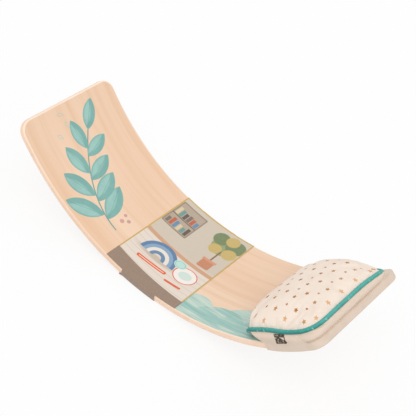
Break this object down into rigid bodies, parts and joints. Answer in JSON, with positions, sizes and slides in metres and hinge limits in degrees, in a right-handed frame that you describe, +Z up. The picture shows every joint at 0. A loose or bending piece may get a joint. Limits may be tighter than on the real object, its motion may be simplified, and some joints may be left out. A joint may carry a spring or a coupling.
{
  "type": "teeter board",
  "caption": "Bent plywood teeter board, a rocking arc with rounded corners, with a slip-on pillow on one end and a printed card sleeve round its middle.",
  "frame": {"origin": "on the floor under the middle of the board, on the strap of the card sleeve that it stands on", "axes": "+X along the board towards the pillow, +Y across the board, +Z up out of the hollow side"},
  "size_m": [0.8968, 0.3092, 0.2595],
  "materials": {
    "face_veneer": "satin",
    "long_veneer": "satin",
    "cross_veneer": "satin",
    "printed_card": "satin",
    "starred_cloth": "matte",
    "plain_cloth": "matte",
    "fibre_filling": "matte",
    "teal_cloth": "matte",
    "brown_weave": "matte"
  },
  "bodies": {
    "board": {"veneer_1_top_face": "face_veneer", "veneer_2_cross": "cross_veneer", "veneer_3_long": "long_veneer", "veneer_4_cross": "cross_veneer", "veneer_5_long": "long_veneer", "veneer_6_cross": "cross_veneer", "veneer_7_long": "long_veneer", "veneer_8_cross": "cross_veneer", "veneer_9_bottom_face": "face_veneer"},
    "pillow": {"pillow_top_panel": "starred_cloth", "pillow_underside_panel": "plain_cloth", "pillow_filling": "fibre_filling", "pillow_piping": "teal_cloth", "pillow_pocket": "plain_cloth", "woven_label": "brown_weave"},
    "sleeve": {"printed_card_sleeve": "printed_card"}
  },
  "joints": [
    {"name": "pillow_slip", "type": "hinge", "parent": "board", "child": "pillow", "pos_m": [0, 0, 0.57115], "axis": [0, -1, 0], "range_deg": [0, 15]},
    {"name": "sleeve_slide", "type": "hinge", "parent": "board", "child": "sleeve", "pos_m": [0, 0, 0.57115], "axis": [0, -1, 0], "range_deg": [-61, 18]}
  ]
}
